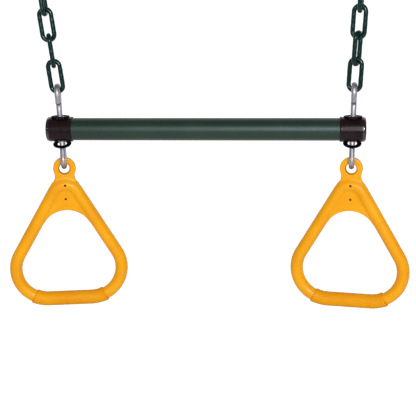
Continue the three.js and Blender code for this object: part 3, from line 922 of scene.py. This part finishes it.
def quads_across(inside, index):
    """Outward faces across the grid edges that the surface crosses; index numbers the cells' points."""
    shape = index.shape
    quads = []
    for axis in range(3):
        u, v = (axis + 1) % 3, (axis + 2) % 3
        first = [slice(None)] * 3
        second = [slice(None)] * 3
        first[axis], second[axis] = slice(0, -1), slice(1, None)
        crossing = inside[tuple(first)] != inside[tuple(second)]
        at = np.argwhere(crossing)
        at = at[(at[:, u] > 0) & (at[:, v] > 0) & (at[:, u] < shape[u]) & (at[:, v] < shape[v])]
        leaving = inside[tuple(first)][tuple(at.T)]
        cell = []
        for du, dv in ((1, 1), (0, 1), (0, 0), (1, 0)):
            neighbour = at.copy()
            neighbour[:, u] -= du
            neighbour[:, v] -= dv
            cell.append(index[tuple(neighbour.T)])
        quad = np.column_stack(cell)
        quad[~leaving] = quad[~leaving][:, ::-1]
        quads.append(quad)
    return np.vstack(quads)


def surface_net(distance, low, high, pitch):
    """The surface where a distance is nought, as quads with one point in each grid cell that it crosses."""
    axes = [np.arange(a, b + pitch, pitch) for a, b in zip(low, high)]
    values = np.stack([
        distance(*np.broadcast_arrays(axes[0][:, None], y, axes[2][None, :])) for y in axes[1]
    ], axis=1)
    count, middle = crossings(values)
    used = count > 0
    index = -np.ones(used.shape, int)
    index[used] = np.arange(used.sum())
    points = (np.argwhere(used) + middle[used]) * pitch + np.array([axis[0] for axis in axes])
    return points, quads_across(values < 0, index)


RING_PITCH = 0.8
HOLE_PAINTED_SHADE = 0.6  # how dark the painted shade makes the wall of the lug's hole
HOLE_RIM = 0.2  # what stays unshaded at its edge
HOLE_FADE = 1.2
DIMPLE_PAINTED_SHADE_REACH = 1.75  # how far the painted shade reaches from a dimple's middle
DIMPLE_FADE = 0.4


def ring_painted_shade(x, y, z):
    """How dark the painted shade makes the ring, from 0 on open faces to 1 in the dimples."""
    edge = LUG_HOLE_RADIUS + LUG_HOLE_FLARE - HOLE_RIM
    painted_shade = np.clip((edge - np.hypot(x, z)) / HOLE_FADE, 0, 1) * HOLE_PAINTED_SHADE
    for drop in (UPPER_DIMPLE_DROP, LOWER_DIMPLE_DROP):
        near = np.clip((DIMPLE_PAINTED_SHADE_REACH - np.hypot(x, z + drop)) / DIMPLE_FADE, 0, 1)
        painted_shade = np.maximum(painted_shade, np.where(y < 0, near, 0))
    return painted_shade


def ring_mesh():
    margin = 2 * RING_PITCH
    reach = CORNER_X + CORNER_BEND + LIMB_RADIUS + margin
    thick = LIMB_RADIUS + margin
    low = (-reach, -thick, -HANDLE_DROP - LIMB_RADIUS - margin)
    high = (reach, thick, LUG_RADIUS + margin)
    points, quads = surface_net(ring_distance, low, high, RING_PITCH)
    mesh = bpy.data.meshes.new("ring_shape")
    mesh.from_pydata((points * MM).tolist(), [], quads.tolist())
    # Painted shade for the plastic's colour, on the hole's wall and in the dimples.
    painted_shade = mesh.attributes.new("painted_shade", "FLOAT", "POINT")
    painted_shade.data.foreach_set("value", ring_painted_shade(*points.T))
    return mesh


GRIP_STEP = 1.2
GRIP_ARC_STEP = 0.4
GRIP_SIDES = 64
GRIP_SLACK = 0.1  # by which the sleeve is thinner than its full size, as room for its waves
GRIP_LIP = 0.7
GRIP_FLARE = 0.55  # by which its ends stand proud
FLARE_LENGTH = 4
SEAM_REACH = 12  # over which the slant of its ends dies away
WAVE_REACH = 7  # over which its waves die away
GRIP_WAVES = (  # the depth, the number round the sleeve, and the length along it per radian of twist
    (0.2, 2, 11),
    (0.1, 5, math.inf),
    (0.1, 9, 5),
)


def grip_radii(places, turns, seed):
    """The grip's outer radius at each place along it and each turn round it."""
    from_end = np.minimum(places, places[-1] - places)
    rounding = np.sqrt(np.clip(1 - (1 - np.clip(from_end / GRIP_LIP, 0, 1)) ** 2, 0, 1))
    flare = GRIP_FLARE * np.exp(-((from_end / FLARE_LENGTH) ** 2))
    radius = GRIP_DIAMETER / 2 - GRIP_LIP * (1 - rounding) + flare - GRIP_SLACK
    phases = np.random.default_rng(seed).uniform(0, 2 * math.pi, len(GRIP_WAVES))
    waves = 0
    for (depth, number, length), phase in zip(GRIP_WAVES, phases):
        waves = waves + depth * np.sin(number * turns[None] + phase + places[:, None] / length)
    return radius[:, None] + np.exp(-from_end / WAVE_REACH)[:, None] * waves


def seam_shift(places, turns):
    """How far each point of the grip moves along it, so that its ends are slanted."""
    from_end = np.minimum(places, places[-1] - places)
    fading = np.clip(1 - from_end / SEAM_REACH, 0, 1)[:, None]
    shift = fading * (SEAM_SHIFT - SEAM_SLANT * np.cos(turns)[None])
    return shift * np.where(places < places[-1] / 2, -1, 1)[:, None]


def grip_mesh(seed):
    """The sleeve over the lower bar, with soft uneven ends and a bore that clears the bar inside."""
    down = -math.pi / 2
    line = route(
        arc((-CORNER_X, -CORNER_DROP), CORNER_BEND, down - GRIP_TURN, down, GRIP_ARC_STEP),
        arc((CORNER_X, -CORNER_DROP), CORNER_BEND, down, down + GRIP_TURN, GRIP_ARC_STEP),
        step=GRIP_STEP,
    )
    bore = HANDLE_DIAMETER / 2 + RUNNING_GAP
    turns = np.linspace(0, 2 * math.pi, GRIP_SIDES, endpoint=False)
    places = np.arange(len(line)) * GRIP_STEP
    along = directions(line)
    spokes = spokes_round(along, turns)
    shift = in_space(along)[:, None] * seam_shift(places, turns)[..., None]
    outside = in_space(line)[:, None] + spokes * grip_radii(places, turns, seed)[..., None] + shift
    inside = (in_space(line)[:, None] + spokes * bore + shift)[::-1]
    verts = np.concatenate((outside, inside)).reshape(-1, 3)
    return mesh_of("grip_shape", verts, ring_faces(2 * len(line), GRIP_SIDES, closed=True))


# The whole object

def build_bar():
    at_bar = Matrix.Translation(BAR_CENTRE)
    put("bar_tube", tube_mesh(), at_bar, "tube")
    for name, side in SIDES.items():
        put(f"cap_{name}", cap_mesh(side), at_bar, "cap")
        height = SEAT_HEIGHT + RUNNING_GAP + UPPER_WASHER_LIFT + WASHER_THICKNESS / 2
        place = at_bar @ shifted(side["rod_x"], 0, height) @ turned(-UPPER_WASHER_TILT, "X")
        put(f"upper_washer_{name}", washer_mesh(), place, "washer")


def build_rod(name, side):
    place = rod_place(side)
    put_wire(f"rod_{name}", rod_line(), ROD_WIRE, place @ turned(math.pi / 2, "Z"))
    hanging = place @ shifted(z=LOOSE_WASHER_RISE - LOWER_EYE_DROP) @ turned(LOOSE_WASHER_TILT, "X")
    put(f"lower_washer_{name}", washer_mesh(), hanging, "washer")


def build_chain(name, side):
    """The links from the lowest up, each where its node is, and the hook in the last one."""
    lean = turned(side["sign"] * side["chain_lean"], "Y")
    for number, turn in enumerate(side["link_turns"], 1):
        node = f"chain_link_{name}_{number}"
        low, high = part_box(node)
        place = Matrix.Translation((low + high) / 2) @ lean
        put(node, link_mesh(side["link_seed"] + number), place @ turned(turn, "Z"), "chain")
    above = LINK_REACH - (HOOK_WIRE + LINK_WIRE) / 2 - RUNNING_GAP
    put_wire(f"s_hook_{name}", hook_line(), HOOK_WIRE, place @ shifted(z=above))


def build_ring(name, side, shape):
    """The ring and its grip, which hang upright on the lower eye."""
    wire = rod_place(side) @ (Vector((0, 0, -LOWER_EYE_DROP - EYE_BEND)) * MM)
    place = Matrix.Translation(wire) @ shifted(z=RUNNING_GAP - LUG_HOLE_PLAY) @ turned(side["ring_turn"], "Z")
    put(f"ring_{name}", shape.copy(), place, "ring")
    put(f"ring_grip_{name}", grip_mesh(side["grip_seed"]), place, "grip")


build_bar()
ring_shape = ring_mesh()
for name, side in SIDES.items():
    build_rod(name, side)
    build_chain(name, side)
    build_ring(name, side, ring_shape)


# The floor, the lights and the world

FLOOR_DROP = 1.15  # of the floor below the bar, in metres
FLOOR_SIZE = 60
FLOOR_COLOUR = (0.82, 0.82, 0.82, 1)
FLOOR_ROUGHNESS = 0.9
FLOOR_GLOW = 0.55  # of the floor behind the object, as mirrored
GLOW_START, GLOW_END = -0.4, 1.2  # where on the floor that sets in and is full, in metres towards the back
FLOOR_WHITE = 0.8  # what the floor adds to be white to the camera
ROOM_BEHIND = 1.0  # how bright the white backdrop behind the object is
ROOM_IN_FRONT = 0.1  # the dark side of the room, behind the camera
BACKDROP_START, BACKDROP_END = 0.2, 0.7  # where that turns to white, as the depth of a direction
ROOM_SOFT = 0.4  # what the whole room gives to plain surfaces
WHITE = (1, 1, 1, 1)
LIGHT_DISTANCE = 2.4  # of each light from the middle of the bar, in metres


def seen_directly(tree):
    """1 for rays from the camera, and a second output that is 1 for mirror and see-through rays."""
    path = tree.nodes.new("ShaderNodeLightPath")
    either = tree.nodes.new("ShaderNodeMath")
    either.operation = "MAXIMUM"
    tree.links.new(path.outputs["Is Glossy Ray"], either.inputs[0])
    tree.links.new(path.outputs["Is Transmission Ray"], either.inputs[1])
    return path.outputs["Is Camera Ray"], either.outputs[0]


def choose(tree, factor, without, with_it):
    """One value where the factor is 0 and the other where it is 1."""
    made = tree.nodes.new("ShaderNodeMix")
    for number, value in zip(MIXED_VALUES, (factor, without, with_it)):
        if isinstance(value, (int, float)):
            made.inputs[number].default_value = value
        else:
            tree.links.new(value, made.inputs[number])
    return made.outputs[MIXED_VALUE]


def towards_back(tree, vector, front, back):
    """0 on the camera's side and 1 behind the object, along the depth of this vector."""
    split = tree.nodes.new("ShaderNodeSeparateXYZ")
    tree.links.new(vector, split.inputs[0])
    depth = tree.nodes.new("ShaderNodeMapRange")
    depth.interpolation_type = "SMOOTHSTEP"
    depth.inputs["From Min"].default_value = front
    depth.inputs["From Max"].default_value = back
    tree.links.new(split.outputs["Y"], depth.inputs["Value"])
    return depth.outputs["Result"]


def make_floor():
    mesh = bpy.data.meshes.new("floor")
    half = FLOOR_SIZE / 2
    height = BAR_CENTRE.z - FLOOR_DROP
    corners = [(-half, -half, height), (half, -half, height), (half, half, height), (-half, half, height)]
    mesh.from_pydata(corners, [], [(0, 1, 2, 3)])
    floor = bpy.data.objects.new("floor", mesh)
    bpy.context.scene.collection.objects.link(floor)
    material = bpy.data.materials.new("floor")
    material.use_nodes = True
    tree = material.node_tree
    principled = tree.nodes["Principled BSDF"]
    principled.inputs["Base Color"].default_value = FLOOR_COLOUR
    principled.inputs["Roughness"].default_value = FLOOR_ROUGHNESS
    principled.inputs["Specular IOR Level"].default_value = 0
    camera, mirror = seen_directly(tree)
    place = tree.nodes.new("ShaderNodeTexCoord").outputs["Object"]
    back = towards_back(tree, place, GLOW_START, GLOW_END)
    mirrored = choose(tree, back, 0, FLOOR_GLOW)
    glow = choose(tree, camera, choose(tree, mirror, 0, mirrored), FLOOR_WHITE)
    principled.inputs["Emission Color"].default_value = WHITE
    tree.links.new(glow, principled.inputs["Emission Strength"])
    mesh.materials.append(material)


def make_world():
    world = bpy.data.worlds.new("studio")
    bpy.context.scene.world = world
    world.use_nodes = True
    tree = world.node_tree
    background = tree.nodes["Background"]
    background.inputs["Color"].default_value = WHITE
    camera, mirror = seen_directly(tree)
    direction = tree.nodes.new("ShaderNodeTexCoord").outputs["Generated"]
    back = towards_back(tree, direction, BACKDROP_START, BACKDROP_END)
    mirrored = choose(tree, back, ROOM_IN_FRONT, ROOM_BEHIND)
    strength = choose(tree, camera, choose(tree, mirror, ROOM_SOFT, mirrored), 1)
    tree.links.new(strength, background.inputs["Strength"])


def add_light(name, azimuth, elevation, size, power):
    """A soft box that faces the middle of the bar; azimuth 0 is the front, and 90 the right."""
    a, e = math.radians(azimuth), math.radians(elevation)
    away = Vector((math.sin(a) * math.cos(e), -math.cos(a) * math.cos(e), math.sin(e)))
    data = bpy.data.lights.new(name, "AREA")
    data.shape = "SQUARE"
    data.size = size
    data.energy = power
    light = bpy.data.objects.new(name, data)
    light.location = BAR_CENTRE + away * LIGHT_DISTANCE
    light.rotation_mode = "QUATERNION"
    light.rotation_quaternion = away.to_track_quat("Z", "Y")
    bpy.context.scene.collection.objects.link(light)


make_floor()
make_world()
add_light("key", azimuth=20, elevation=16, size=0.3, power=18)
add_light("broad", azimuth=6, elevation=15, size=1.3, power=22)
add_light("fill", azimuth=-33, elevation=14, size=0.35, power=3)
bpy.context.scene.view_settings.view_transform = "Standard"
